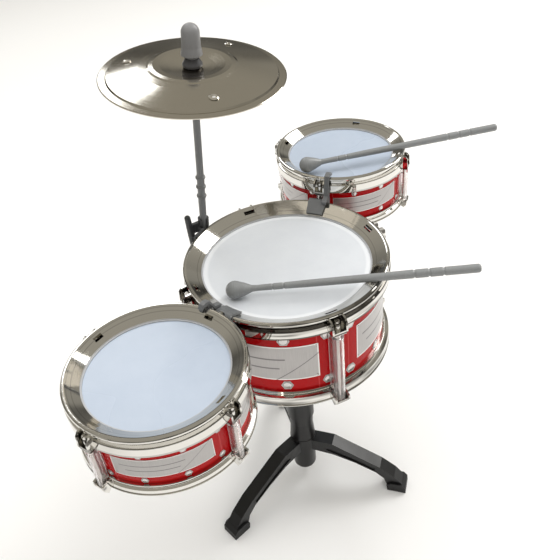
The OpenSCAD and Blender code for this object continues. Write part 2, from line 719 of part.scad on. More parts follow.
// A stick lying on a head and over the rim: where its bulb rests, and which way it points
module lying_stick(s, at, turn) {
    crest = rim(s) - bead_in;
    dir = [cos(turn), sin(turn)];
    along = -(at * dir) + sqrt(pow(at * dir, 2) - (at * at) + crest * crest);
    under = handle_d / 2 - 0.1;
    start_z = bulb_z(s, at);
    climb = asin((rise(s) + under + rest_gap - start_z) / along);
    translate([at[0], at[1], start_z])
    rotate([0, -climb, turn])
    translate([-bulb_s, 0, 0])
    stick();
}

module centre_stick()
    color("#808284")
    on_drum()
    lying_stick(drum_size, centre_bulb, centre_stick_turn);
module right_stick()
    color("#808284")
    on_right()
    rotate(-tom_turn)
    lying_stick(tom_size, right_bulb, right_stick_turn);

// ---- nodes ----

kit() stand_post();
kit() hub_cone();
kit() leg_ring();
kit() hub_cap();
kit() leg(leg_turn);  // leg_front
kit() leg(leg_turn + 120);  // leg_right
kit() leg(leg_turn + 240);  // leg_left
kit() foot(leg_turn);  // foot_front
kit() foot(leg_turn + 120);  // foot_right
kit() foot(leg_turn + 240);  // foot_left
kit() post_socket();
kit() base_plate();
kit() base_screws();
kit() on_drum() shell(drum_size, plate_t);  // drum_shell
kit() on_drum() wrap(drum_size, plate_t);  // drum_wrap
kit()  // drum_panels
    on_drum() panels(drum_size, drum_print_turn, drum_lug_turn, drum_panel_h, drum_bolt_w);
kit() on_drum() head(drum_size);  // drum_head
kit() on_drum() head_ring(drum_size);  // drum_head_ring
kit() on_drum() top_hoop(drum_size, drum_lug_turn);  // drum_top_hoop
kit() on_drum() bottom_hoop(drum_size, drum_lug_turn);  // drum_bottom_hoop
kit() on_drum() lugs(drum_size, drum_lug_turn);  // drum_lugs
kit() on_drum() tension_screws(drum_size, drum_lug_turn);  // drum_tension_screws
kit() on_left() shell(tom_size, head_t);  // left_shell
kit() on_left() wrap(tom_size, head_t);  // left_wrap
kit()  // left_panels
    on_left() panels(tom_size, tom_print_turn, 0, tom_panel_h, tom_bolt_w);
kit() on_left() head(tom_size);  // left_head
kit() on_left() head_ring(tom_size);  // left_head_ring
kit() on_left() top_hoop(tom_size, 0);  // left_top_hoop
kit() on_left() bottom_hoop(tom_size, 0);  // left_bottom_hoop
kit() on_left() bottom_head(tom_size);  // left_bottom_head
kit() on_left() lugs(tom_size, 0);  // left_lugs
kit() on_left() tension_screws(tom_size, 0);  // left_tension_screws
kit() rotate(180 - tom_turn) on_drum() clip(left_lift);  // left_clip
kit() on_right() shell(tom_size, head_t);  // right_shell
kit() on_right() wrap(tom_size, head_t);  // right_wrap
kit()  // right_panels
    on_right() panels(tom_size, tom_print_turn, 0, tom_panel_h, tom_bolt_w);
kit() on_right() head(tom_size);  // right_head
kit() on_right() head_ring(tom_size);  // right_head_ring
kit() on_right() top_hoop(tom_size, 0);  // right_top_hoop
kit() on_right() bottom_hoop(tom_size, 0);  // right_bottom_hoop
kit() on_right() bottom_head(tom_size);  // right_bottom_head
kit() on_right() lugs(tom_size, 0);  // right_lugs
kit() on_right() tension_screws(tom_size, 0);  // right_tension_screws
kit() rotate(tom_turn) on_drum() clip(right_lift);  // right_clip
kit() cymbal_bracket();
kit() cymbal_rod();
kit() cymbal_seat();
kit() cymbal();
kit() cymbal_eyelets();
kit() cymbal_knob();
kit() knob_flange();
kit() centre_stick();
kit() right_stick();
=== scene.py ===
import bpy
import json
import math
from mathutils import Matrix, Vector


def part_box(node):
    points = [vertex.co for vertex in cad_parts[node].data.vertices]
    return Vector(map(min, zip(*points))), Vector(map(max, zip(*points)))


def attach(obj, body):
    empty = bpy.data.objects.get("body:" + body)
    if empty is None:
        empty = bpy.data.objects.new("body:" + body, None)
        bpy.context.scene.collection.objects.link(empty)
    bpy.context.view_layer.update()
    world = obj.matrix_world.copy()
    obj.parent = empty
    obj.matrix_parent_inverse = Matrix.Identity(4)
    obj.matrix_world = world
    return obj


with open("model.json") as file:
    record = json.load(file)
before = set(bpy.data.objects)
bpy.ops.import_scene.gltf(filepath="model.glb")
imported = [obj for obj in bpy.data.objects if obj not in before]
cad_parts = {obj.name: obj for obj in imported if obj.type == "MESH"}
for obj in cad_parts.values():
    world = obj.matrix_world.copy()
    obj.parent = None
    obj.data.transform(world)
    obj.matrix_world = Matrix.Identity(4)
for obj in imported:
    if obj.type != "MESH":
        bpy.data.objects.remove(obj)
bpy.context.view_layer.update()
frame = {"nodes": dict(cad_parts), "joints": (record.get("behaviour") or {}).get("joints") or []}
nodes = frame["nodes"]
joints = {joint["name"]: joint for joint in frame["joints"]}
print("frame loaded:", len(nodes), "nodes")


def middleOf(nodeName):
    low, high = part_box(nodeName)
    return (low + high) / 2


axisPoint = Vector(joints["left_tom_swing"]["pos_m"])
rodFoot = Vector(joints["cymbal_spin"]["pos_m"])
rodAxis = Vector(joints["cymbal_spin"]["axis"]).normalized()


# building blocks for materials

def addNode(tree, kind, **settings):
    node = tree.nodes.new(kind)
    for name, value in settings.items():
        setattr(node, name, value)
    return node


def feed(tree, socket, value):
    # a socket takes another node's output, or a plain value
    if isinstance(value, bpy.types.NodeSocket):
        tree.links.new(value, socket)
    elif value is not None:
        socket.default_value = value


def calc(tree, operation, a, b=None, c=None):
    node = addNode(tree, "ShaderNodeMath", operation=operation)
    for i, value in enumerate((a, b, c)):
        feed(tree, node.inputs[i], value)
    return node.outputs[0]


def ramp(tree, value, low, high, outLow=0.0, outHigh=1.0, smooth=False):
    node = addNode(tree, "ShaderNodeMapRange", clamp=True)
    node.interpolation_type = "SMOOTHSTEP" if smooth else "LINEAR"
    settings = {"Value": value, "From Min": low, "From Max": high, "To Min": outLow, "To Max": outHigh}
    for name, item in settings.items():
        feed(tree, node.inputs[name], item)
    return node.outputs["Result"]


def mixColour(tree, factor, a, b):
    node = addNode(tree, "ShaderNodeMix", data_type="RGBA", blend_type="MIX")
    feed(tree, node.inputs[0], factor)
    feed(tree, node.inputs[6], a)
    feed(tree, node.inputs[7], b)
    return node.outputs[2]


def noise(tree, vector, scale, detail=2.0, roughness=0.5):
    node = addNode(tree, "ShaderNodeTexNoise")
    feed(tree, node.inputs["Vector"], vector)
    feed(tree, node.inputs["Scale"], scale)
    node.inputs["Detail"].default_value = detail
    node.inputs["Roughness"].default_value = roughness
    return node.outputs["Fac"]


def newGroup(name, ins, outs):
    tree = bpy.data.node_groups.new(name, "ShaderNodeTree")
    for label, kind, value in ins:
        socket = tree.interface.new_socket(label, in_out="INPUT", socket_type=kind)
        if value is not None:
            socket.default_value = value
    for label, kind in outs:
        tree.interface.new_socket(label, in_out="OUTPUT", socket_type=kind)
    return tree, tree.nodes.new("NodeGroupInput").outputs, tree.nodes.new("NodeGroupOutput").inputs


def placeGroup(tree, group, **values):
    node = addNode(tree, "ShaderNodeGroup", node_tree=group)
    for name, value in values.items():
        feed(tree, node.inputs[name], value)
    return node


colourIn, floatIn, vectorIn = "NodeSocketColor", "NodeSocketFloat", "NodeSocketVector"


# slow drift of tone over a surface, with small specks
def makeToneDrift():
    tree, given, out = newGroup(
        "toneDrift",
        [("Vector", vectorIn, None), ("Colour", colourIn, (0.5, 0.5, 0.5, 1)), ("Scale", floatIn, 20.0),
         ("Amount", floatIn, 0.1), ("Specks", floatIn, 0.0)],
        [("Colour", colourIn)])
    slow = noise(tree, given["Vector"], given["Scale"], 3.0)
    fine = noise(tree, given["Vector"], calc(tree, "MULTIPLY", given["Scale"], 30.0), 1.0)
    speck = ramp(tree, fine, 0.64, 0.72)
    drift = calc(tree, "MULTIPLY_ADD", calc(tree, "SUBTRACT", slow, 0.5), given["Amount"], 1.0)
    level = calc(tree, "SUBTRACT", drift, calc(tree, "MULTIPLY", speck, given["Specks"]))
    scaled = addNode(tree, "ShaderNodeVectorMath", operation="SCALE")
    feed(tree, scaled.inputs[0], given["Colour"])
    feed(tree, scaled.inputs["Scale"], level)
    feed(tree, out["Colour"], scaled.outputs[0])
    return tree


# fine moulded grain and shallow waves, for bump and roughness
def makeMouldGrain():
    tree, given, out = newGroup(
        "mouldGrain",
        [("Vector", vectorIn, None), ("Grain", floatIn, 900.0), ("Wave", floatIn, 60.0),
         ("Roughness", floatIn, 0.3), ("Spread", floatIn, 0.1)],
        [("Height", floatIn), ("Roughness", floatIn)])
    grain = noise(tree, given["Vector"], given["Grain"], 2.0, 0.6)
    wave = noise(tree, given["Vector"], given["Wave"], 2.0)
    feed(tree, out["Height"], calc(tree, "MULTIPLY_ADD", wave, 3.0, grain))
    rough = calc(tree, "MULTIPLY_ADD", calc(tree, "SUBTRACT", wave, 0.5), given["Spread"], given["Roughness"])
    feed(tree, out["Roughness"], calc(tree, "MAXIMUM", rough, 0.02))
    return tree


# hairline scratches in two directions
def makeHairlines():
    tree, given, out = newGroup(
        "hairlines",
        [("Vector", vectorIn, None), ("Scale", floatIn, 300.0)],
        [("Mask", floatIn)])
    lines = None
    for turn, stretch in ((0.5, (1, 14, 1)), (2.1, (16, 1, 3))):
        mapping = addNode(tree, "ShaderNodeMapping")
        feed(tree, mapping.inputs["Vector"], given["Vector"])
        mapping.inputs["Rotation"].default_value = (0.3, 0.2, turn)
        mapping.inputs["Scale"].default_value = stretch
        line = ramp(tree, noise(tree, mapping.outputs[0], given["Scale"], 1.0), 0.62, 0.7)
        lines = line if lines is None else calc(tree, "MAXIMUM", lines, line)
    feed(tree, out["Mask"], lines)
    return tree


# distance from an upright axis, angle round it, and height above a point, in metres and radians
def makeRoundTheAxis():
    tree, given, out = newGroup(
        "roundTheAxis", [("Vector", vectorIn, None)],
        [("Radius", floatIn), ("Angle", floatIn), ("Height", floatIn)])
    split = addNode(tree, "ShaderNodeSeparateXYZ")
    feed(tree, split.inputs[0], given["Vector"])
    x, y, z = split.outputs
    squares = calc(tree, "ADD", calc(tree, "MULTIPLY", x, x), calc(tree, "MULTIPLY", y, y))
    feed(tree, out["Radius"], calc(tree, "SQRT", squares))
    feed(tree, out["Angle"], calc(tree, "ARCTAN2", y, x))
    feed(tree, out["Height"], z)
    return tree


# 1 where a value lies within half a width of a line, with soft ends
def makeThinLine():
    tree, given, out = newGroup(
        "thinLine", [("Value", floatIn, 0.0), ("Place", floatIn, 0.0), ("Width", floatIn, 0.001)],
        [("Mask", floatIn)])
    off = calc(tree, "ABSOLUTE", calc(tree, "SUBTRACT", given["Value"], given["Place"]))
    half = calc(tree, "MULTIPLY", given["Width"], 0.5)
    feed(tree, out["Mask"], ramp(tree, off, half, calc(tree, "MULTIPLY", half, 1.5), 1.0, 0.0))
    return tree


toneDrift = makeToneDrift()
mouldGrain = makeMouldGrain()
hairlines = makeHairlines()
roundTheAxis = makeRoundTheAxis()
thinLine = makeThinLine()


def newMaterial(name, origin=(0, 0, 0), lean=None):
    # a material, its shader, and Object coordinates measured from a point, turned upright if they lean
    material = bpy.data.materials.new(name)
    material.use_nodes = True
    tree = material.node_tree
    shader = tree.nodes["Principled BSDF"]
    coords = addNode(tree, "ShaderNodeTexCoord")
    mapping = addNode(tree, "ShaderNodeMapping", vector_type="POINT")
    turn = Matrix.Identity(3) if lean is None else lean.rotation_difference(Vector((0, 0, 1))).to_matrix()
    mapping.inputs["Rotation"].default_value = turn.to_euler()
    mapping.inputs["Location"].default_value = -(turn @ Vector(origin))
    feed(tree, mapping.inputs["Vector"], coords.outputs["Object"])
    return material, tree, shader, mapping.outputs[0]


def setBump(tree, shader, height, strength, distance):
    bump = addNode(tree, "ShaderNodeBump")
    bump.inputs["Strength"].default_value = strength
    bump.inputs["Distance"].default_value = distance
    feed(tree, bump.inputs["Height"], height)
    feed(tree, shader.inputs["Normal"], bump.outputs[0])
    return bump


# moulded plastics

plastics = {
    "blackSatin": dict(colour=(0.004, 0.004, 0.0045),
                       rough=0.36, spread=0.16, grain=700, bump=0.16, drift=0.35, scuff=0.10),
    "footBlack": dict(colour=(0.006, 0.006, 0.0065),
                       rough=0.55, spread=0.15, grain=500, bump=0.3, drift=0.4, scuff=0.15),
    "baseDark": dict(colour=(0.05, 0.05, 0.055),
                       rough=0.5, spread=0.2, grain=500, bump=0.25, drift=0.3, scuff=0.1),
    "shellRed": dict(colour=(0.36, 0.02, 0.025),
                       rough=0.4, spread=0.1, grain=500, bump=0.1, drift=0.2, scuff=0.0),
    "clipGrey": dict(colour=(0.15, 0.155, 0.16),
                       rough=0.36, spread=0.14, grain=800, bump=0.12, drift=0.2, scuff=0.12),
    "bracketGrey": dict(colour=(0.05, 0.052, 0.055),
                       rough=0.42, spread=0.15, grain=700, bump=0.16, drift=0.25, scuff=0.12),
    "rodGrey": dict(colour=(0.20, 0.205, 0.21),
                       rough=0.33, spread=0.12, grain=800, bump=0.1, drift=0.2, scuff=0.12),
    "softDark": dict(colour=(0.075, 0.075, 0.08),
                       rough=0.42, spread=0.12, grain=600, bump=0.15, drift=0.3, scuff=0.1),
    "knobGrey": dict(colour=(0.25, 0.25, 0.255),
                       rough=0.36, spread=0.1, grain=800, bump=0.1, drift=0.15, scuff=0.08),
    "stickGrey": dict(colour=(0.25, 0.26, 0.265),
                       rough=0.25, spread=0.14, grain=800, bump=0.12, drift=0.2, scuff=0.14),
}


def mouldedPlastic(name):
    look = plastics[name]
    material, tree, shader, place = newMaterial(name)
    tone = placeGroup(tree, toneDrift, Vector=place, Colour=(*look["colour"], 1), Scale=28.0,
                      Amount=look["drift"], Specks=0.05)
    surface = placeGroup(tree, mouldGrain, Vector=place, Grain=float(look["grain"]), Wave=50.0,
                         Roughness=look["rough"], Spread=look["spread"])
    marks = placeGroup(tree, hairlines, Vector=place, Scale=130.0)
    pale = tuple(min(1.0, c * 1.5 + 0.03) for c in look["colour"])
    worn = mixColour(tree, calc(tree, "MULTIPLY", marks.outputs["Mask"], look["scuff"]),
                     tone.outputs["Colour"], (*pale, 1))
    feed(tree, shader.inputs["Base Color"], worn)
    feed(tree, shader.inputs["Roughness"], surface.outputs["Roughness"])
    setBump(tree, shader, surface.outputs["Height"], look["bump"], 0.0002)
    return material


# mirror-like metallised plastic of the rims

rimLook = dict(colour=(0.74, 0.725, 0.69), shade=(0.085, 0.078, 0.068), rough=0.06, wave=26.0,
               bandWidth=0.0005)


def rimMetal(name, drumNode, rimNode, grooves):
    low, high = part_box(rimNode)
    head = middleOf(drumNode)
    head.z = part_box(drumNode)[1].z
    material, tree, shader, place = newMaterial(name, head)
    around = placeGroup(tree, roundTheAxis, Vector=place)
    tone = placeGroup(tree, toneDrift, Vector=place, Colour=(*rimLook["colour"], 1), Scale=16.0,
                      Amount=0.12, Specks=0.0)
    # two turned lines on the slope of the upper rim
    rimRadius = (high.x - low.x) / 2
    marks = calc(tree, "MAXIMUM",
                  placeGroup(tree, thinLine, Value=around.outputs["Radius"], Place=rimRadius * 0.865,
                             Width=rimLook["bandWidth"]).outputs[0],
                  placeGroup(tree, thinLine, Value=around.outputs["Radius"], Place=rimRadius * 0.825,
                             Width=rimLook["bandWidth"]).outputs[0])
    top = ramp(tree, around.outputs["Height"], -0.001, 0.0005)
    marks = calc(tree, "MULTIPLY", marks, top)
    dark = tuple(c * 0.62 for c in rimLook["colour"])
    lined = mixColour(tree, calc(tree, "MULTIPLY", marks, 0.5), tone.outputs["Colour"], (*dark, 1))
    # painted dark reflections on the upright walls, as cloudy patches stretched round the drum
    wallPlace = addNode(tree, "ShaderNodeCombineXYZ")
    feed(tree, wallPlace.inputs[0], calc(tree, "MULTIPLY", calc(tree, "SINE", around.outputs["Angle"]), 0.02))
    feed(tree, wallPlace.inputs[1], calc(tree, "MULTIPLY", calc(tree, "COSINE", around.outputs["Angle"]), 0.02))
    feed(tree, wallPlace.inputs[2], calc(tree, "MULTIPLY", around.outputs["Height"], 3.0))
    # painted reflection: dark patches mixed into the base colour, in place of the room mirrored in the chrome
    paintedDarkReflection = ramp(tree, noise(tree, wallPlace.outputs[0], 90.0, 2.0, 0.5), 0.42, 0.62, 0.0, 0.85)
    wall = ramp(tree, around.outputs["Radius"], rimRadius * 0.955, rimRadius * 0.975)
    shaded = calc(tree, "MULTIPLY", paintedDarkReflection, wall)
    # the groove under the bead and the wall's foot gather shade
    outer = ramp(tree, around.outputs["Radius"], rimRadius * 0.92, rimRadius * 0.94)
    for level, width in grooves:
        hollow = placeGroup(tree, thinLine, Value=around.outputs["Height"], Place=level, Width=width)
        shaded = calc(tree, "MAXIMUM", shaded, calc(tree, "MULTIPLY", hollow.outputs[0], outer))
    feed(tree, shader.inputs["Base Color"],
         mixColour(tree, calc(tree, "MULTIPLY", shaded, 0.94), lined, (*rimLook["shade"], 1)))
    shader.inputs["Metallic"].default_value = 1.0
    surface = placeGroup(tree, mouldGrain, Vector=place, Grain=340.0, Wave=rimLook["wave"],
                         Roughness=rimLook["rough"], Spread=0.05)
    feed(tree, shader.inputs["Roughness"], surface.outputs["Roughness"])
    setBump(tree, shader, surface.outputs["Height"], 0.03, 0.0004)
    return material


# red wrap

wrapLook = dict(colour=(0.46, 0.001, 0.003), fold=(0.75, 0.12, 0.12), rough=0.16)


def redWrap(name, drumNode, lugTurn, radius):
    head = middleOf(drumNode)
    material, tree, shader, place = newMaterial(name, head)
    around = placeGroup(tree, roundTheAxis, Vector=place)
    tone = placeGroup(tree, toneDrift, Vector=place, Colour=(*wrapLook["colour"], 1), Scale=9.0,
                      Amount=0.35, Specks=0.0)
    # a lighter upright line beside each lug, where the film is folded in
    quarter = math.pi / 2
    fromLug = calc(tree, "SUBTRACT", around.outputs["Angle"], lugTurn)
    swing = calc(tree, "WRAP", fromLug, quarter / 2, -quarter / 2)
    length = calc(tree, "MULTIPLY", calc(tree, "ABSOLUTE", swing), radius)
    fold = placeGroup(tree, thinLine, Value=length, Place=radius * 0.17, Width=0.0007)
    colour = mixColour(tree, calc(tree, "MULTIPLY", fold.outputs[0], 0.35), tone.outputs["Colour"],
                       (*wrapLook["fold"], 1))
    feed(tree, shader.inputs["Base Color"], colour)
    surface = placeGroup(tree, mouldGrain, Vector=place, Grain=500.0, Wave=24.0, Roughness=wrapLook["rough"],
                         Spread=0.08)
    feed(tree, shader.inputs["Roughness"], surface.outputs["Roughness"])
    shader.inputs["Specular IOR Level"].default_value = 0.08
    shader.inputs["Coat Weight"].default_value = 0.12
    shader.inputs["Coat Roughness"].default_value = 0.05
    setBump(tree, shader, surface.outputs["Height"], 0.05, 0.0004)
    return material


# silver printed panels

printLook = dict(colour=(0.40, 0.385, 0.38), streak=(0.56, 0.54, 0.53), pale=(0.80, 0.79, 0.78),
                 dark=(0.10, 0.095, 0.10), rough=0.36)


def silverPrint(name, drumNode, turn, radius, halfHeight, middleHeight):
    head = middleOf(drumNode)
    head.z = middleHeight
    material, tree, shader, place = newMaterial(name, head)
    around = placeGroup(tree, roundTheAxis, Vector=place)
    quarter = math.pi / 2
    fromMiddle = calc(tree, "SUBTRACT", around.outputs["Angle"], turn)
    swing = calc(tree, "WRAP", fromMiddle, quarter / 2, -quarter / 2)
    along = calc(tree, "MULTIPLY", swing, radius)
    up = around.outputs["Height"]
    halfWidth = radius * math.radians(32.5)
    sideGap = calc(tree, "SUBTRACT", halfWidth, calc(tree, "ABSOLUTE", along))
    endGap = calc(tree, "SUBTRACT", halfHeight, calc(tree, "ABSOLUTE", up))
    edgeGap = calc(tree, "MINIMUM", sideGap, endGap)
    inside = calc(tree, "GREATER_THAN", endGap, 0.0)
    unit = halfHeight / 17
    border = calc(tree, "MULTIPLY", inside, ramp(tree, edgeGap, unit * 0.8, unit * 1.1, 1.0, 0.0))
    # one slanting line, and two level rules beside it
    slant = calc(tree, "MULTIPLY_ADD", along, 0.74, -halfHeight - radius * 0.10)
    offSlant = calc(tree, "SUBTRACT", up, slant)
    slantLine = placeGroup(tree, thinLine, Value=offSlant, Place=0.0, Width=unit * 0.75)
    left = calc(tree, "LESS_THAN", calc(tree, "SUBTRACT", slant, up), -unit * 3)
    rules = None
    for height, half in ((4.2, 0.36), (-5.0, 0.30)):
        rule = placeGroup(tree, thinLine, Value=up, Place=unit * height, Width=unit * 1.1).outputs[0]
        span = calc(tree, "LESS_THAN", calc(tree, "ABSOLUTE", calc(tree, "ADD", along, halfWidth * 0.22)),
                     radius * half)
        rule = calc(tree, "MULTIPLY", calc(tree, "MULTIPLY", rule, span), left)
        rules = rule if rules is None else calc(tree, "MAXIMUM", rules, rule)
    lines = calc(tree, "MULTIPLY", inside, calc(tree, "MAXIMUM", slantLine.outputs[0], rules))
    # upright brushing
    brush = addNode(tree, "ShaderNodeCombineXYZ")
    feed(tree, brush.inputs[0], along)
    feed(tree, brush.inputs[1], calc(tree, "MULTIPLY", up, 0.04))
    grain = noise(tree, brush.outputs[0], 1600.0, 3.0, 0.6)
    tone = placeGroup(tree, toneDrift, Vector=place, Colour=(*printLook["colour"], 1), Scale=14.0,
                      Amount=0.6, Specks=0.0)
    brushed = mixColour(tree, ramp(tree, grain, 0.3, 0.7, 0.0, 0.35), tone.outputs["Colour"],
                        (*printLook["streak"], 1))
    withBorder = mixColour(tree, border, brushed, (*printLook["pale"], 1))
    feed(tree, shader.inputs["Base Color"],
         mixColour(tree, calc(tree, "MULTIPLY", lines, 0.8), withBorder, (*printLook["dark"], 1)))
    feed(tree, shader.inputs["Roughness"],
         ramp(tree, grain, 0.2, 0.8, printLook["rough"] - 0.08, printLook["rough"] + 0.08))
    feed(tree, shader.inputs["Metallic"], calc(tree, "MULTIPLY_ADD", lines, -0.7, 0.85))
    shader.inputs["Coat Weight"].default_value = 0.4
    shader.inputs["Coat Roughness"].default_value = 0.08
    setBump(tree, shader, calc(tree, "SUBTRACT", grain, lines), 0.08, 0.0002)
    return material


# drum heads

headLooks = {
    "whiteHead": dict(colour=(0.66, 0.69, 0.73), tint=(0.58, 0.61, 0.66), rough=0.33),
    "blueHead": dict(colour=(0.45, 0.515, 0.615), tint=(0.39, 0.455, 0.56), rough=0.27),
}


def drumSkin(name, look, headNode, visibleRadius):
    look = headLooks[look]
    material, tree, shader, place = newMaterial(name, middleOf(headNode))
    around = placeGroup(tree, roundTheAxis, Vector=place)
    tone = placeGroup(tree, toneDrift, Vector=place, Colour=(*look["colour"], 1), Scale=14.0,
                      Amount=0.10, Specks=0.015)
    cloud = ramp(tree, noise(tree, place, 34.0, 4.0, 0.6), 0.35, 0.7, 0.0, 0.55)
    soft = mixColour(tree, cloud, tone.outputs["Colour"], (*look["tint"], 1))
    rim = ramp(tree, around.outputs["Radius"], visibleRadius * 0.955, visibleRadius * 0.99, 0.0, 0.5, True)
    feed(tree, shader.inputs["Base Color"], mixColour(tree, rim, soft, (0.88, 0.9, 0.93, 1)))
    surface = placeGroup(tree, mouldGrain, Vector=place, Grain=1400.0, Wave=12.0, Roughness=look["rough"],
                         Spread=0.12)
    feed(tree, shader.inputs["Roughness"], surface.outputs["Roughness"])
    shader.inputs["Subsurface Weight"].default_value = 0.08
    shader.inputs["Subsurface Radius"].default_value = (0.002, 0.002, 0.002)
    shader.inputs["Subsurface Scale"].default_value = 0.5
    setBump(tree, shader, surface.outputs["Height"], 0.06, 0.0002)
    return material


def headRing(name, headNode):
    material, tree, shader, place = newMaterial(name, middleOf(headNode))
    tone = placeGroup(tree, toneDrift, Vector=place, Colour=(0.42, 0.43, 0.45, 1), Scale=40.0,
                      Amount=0.3, Specks=0.05)
    surface = placeGroup(tree, mouldGrain, Vector=place, Grain=900.0, Wave=80.0, Roughness=0.3, Spread=0.1)
    feed(tree, shader.inputs["Base Color"], tone.outputs["Colour"])
    feed(tree, shader.inputs["Roughness"], surface.outputs["Roughness"])
    setBump(tree, shader, surface.outputs["Height"], 0.1, 0.0002)
    return material


# clear lugs

def clearLug(name):
    material, tree, shader, place = newMaterial(name)
    tone = placeGroup(tree, toneDrift, Vector=place, Colour=(0.93, 0.90, 0.90, 1), Scale=60.0,
                      Amount=0.12, Specks=0.0)
    surface = placeGroup(tree, mouldGrain, Vector=place, Grain=500.0, Wave=90.0, Roughness=0.12, Spread=0.1)
    feed(tree, shader.inputs["Base Color"], tone.outputs["Colour"])
    feed(tree, shader.inputs["Roughness"], surface.outputs["Roughness"])
    shader.inputs["Transmission Weight"].default_value = 0.93
    shader.inputs["IOR"].default_value = 1.46
    setBump(tree, shader, surface.outputs["Height"], 0.12, 0.0003)
    return material


# sheet metal of the cymbal

cymbalLook = dict(colour=(0.60, 0.565, 0.50), rough=0.11, grooveStep=0.0011)


def cymbalSheet(name):
    material, tree, shader, place = newMaterial(name, rodFoot, rodAxis)
    around = placeGroup(tree, roundTheAxis, Vector=place)
    radius = around.outputs["Radius"]
    # spinning marks run round the sheet
    wave = calc(tree, "SINE", calc(tree, "MULTIPLY", radius, math.tau / cymbalLook["grooveStep"]))
    ringVector = addNode(tree, "ShaderNodeCombineXYZ")
    feed(tree, ringVector.inputs[0], radius)
    spun = noise(tree, ringVector.outputs[0], 900.0, 3.0, 0.7)
    tone = placeGroup(tree, toneDrift, Vector=place, Colour=(*cymbalLook["colour"], 1), Scale=12.0,
                      Amount=0.14, Specks=0.02)
    feed(tree, shader.inputs["Base Color"],
         mixColour(tree, ramp(tree, spun, 0.4, 0.75, 0.0, 0.3), tone.outputs["Colour"], (0.68, 0.64, 0.57, 1)))
    shader.inputs["Metallic"].default_value = 1.0
    marks = placeGroup(tree, hairlines, Vector=place, Scale=90.0)
    rough = calc(tree, "MULTIPLY_ADD", spun, 0.10, cymbalLook["rough"] - 0.04)
    feed(tree, shader.inputs["Roughness"], calc(tree, "MULTIPLY_ADD", marks.outputs["Mask"], 0.06, rough))
    height = calc(tree, "MULTIPLY_ADD", wave, 0.05, spun)
    setBump(tree, shader, height, 0.05, 0.0002)
    return material


def brightMetal(name, colour, rough):
    material, tree, shader, place = newMaterial(name)
    tone = placeGroup(tree, toneDrift, Vector=place, Colour=(*colour, 1), Scale=60.0, Amount=0.2, Specks=0.1)
    surface = placeGroup(tree, mouldGrain, Vector=place, Grain=1200.0, Wave=100.0, Roughness=rough, Spread=0.12)
    feed(tree, shader.inputs["Base Color"], tone.outputs["Colour"])
    feed(tree, shader.inputs["Roughness"], surface.outputs["Roughness"])
    shader.inputs["Metallic"].default_value = 1.0
    setBump(tree, shader, surface.outputs["Height"], 0.12, 0.0002)
    return material


def dress(nodeName, material):
    data = nodes[nodeName].data
    data.materials.clear()
    data.materials.append(material)


# materials on the CAD nodes

plastic = {name: mouldedPlastic(name) for name in plastics}
for nodeName in nodes:
    if nodeName.startswith(("leg_", "hub_")) or nodeName in ("stand_post", "post_socket"):
        dress(nodeName, plastic["blackSatin"])
    elif nodeName.startswith("foot_"):
        dress(nodeName, plastic["footBlack"])
    elif nodeName.endswith("_shell"):
        dress(nodeName, plastic["shellRed"])
    elif nodeName.endswith("_stick"):
        dress(nodeName, plastic["stickGrey"])
    elif nodeName.endswith("_clip"):
        dress(nodeName, plastic["clipGrey"])
dress("base_plate", plastic["baseDark"])
dress("cymbal_bracket", plastic["bracketGrey"])
dress("cymbal_rod", plastic["rodGrey"])
dress("cymbal_seat", plastic["softDark"])
dress("knob_flange", plastic["softDark"])
dress("cymbal_knob", plastic["knobGrey"])
dress("cymbal", cymbalSheet("cymbalSheet"))
screwMetal = brightMetal("screwMetal", (0.72, 0.70, 0.67), 0.22)
dress("base_screws", screwMetal)
dress("cymbal_eyelets", brightMetal("eyeletMetal", (0.86, 0.83, 0.78), 0.14))
lugPlastic = clearLug("lugClear")

# turn: where the first lug stands, and how far the print is turned from the middle between lugs
drums = {
    "drum": dict(turn=math.radians(52.75), printTurn=math.radians(3.5), skin="whiteHead", body="drum",
                 bolt=0.0096, rivet=0.0010, halfPanel=0.017,
                 grooves=((0.0026, 0.0032), (-0.0052, 0.0012))),
    "left": dict(turn=math.radians(173.35), printTurn=math.radians(-2.4), skin="blueHead", body="left_tom",
                 bolt=0.0052, rivet=0.0006, halfPanel=0.00825,
                 grooves=((0.0014, 0.0030), (-0.0068, 0.0014))),
    "right": dict(turn=math.radians(6.65), printTurn=math.radians(-2.4), skin="blueHead", body="right_tom",
                  bolt=0.0052, rivet=0.0006, halfPanel=0.00825,
                 grooves=((0.0014, 0.0030), (-0.0068, 0.0014))),
}
for name, drum in drums.items():
    headNode = name + "_head"
    low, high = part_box(name + "_wrap")
    drum["radius"] = (high.x - low.x) / 2
    low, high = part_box(name + "_panels")
    drum["printMiddle"] = (low.z + high.z) / 2
    drum["panelAngle"] = drum["turn"] + drum["printTurn"] + math.pi / 4
    rimMaterial = rimMetal(name + "RimMetal", headNode, name + "_top_hoop", drum["grooves"])
    for part in ("_top_hoop", "_bottom_hoop"):
        dress(name + part, rimMaterial)
    dress(name + "_wrap", redWrap(name + "RedWrap", headNode, drum["turn"], drum["radius"]))
    dress(name + "_panels", silverPrint(name + "SilverPrint", headNode, drum["panelAngle"], drum["radius"],
                                        drum["halfPanel"], drum["printMiddle"]))
    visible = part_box(name + "_top_hoop")[1].x - middleOf(headNode).x
    drum["visible"] = visible * 0.79
    dress(headNode, drumSkin(name + "Skin", drum["skin"], headNode, drum["visible"]))
    dress(name + "_head_ring", headRing(name + "HeadRing", headNode))
    dress(name + "_lugs", lugPlastic)
    dress(name + "_tension_screws", screwMetal)
    if name + "_bottom_head" in nodes:
        lowerNode = name + "_bottom_head"
        dress(lowerNode, drumSkin(name + "LowerSkin", drum["skin"], lowerNode, drum["radius"]))
print("materials made:", len(bpy.data.materials))


# printed bolts and corner rivets, raised a little from the wrap

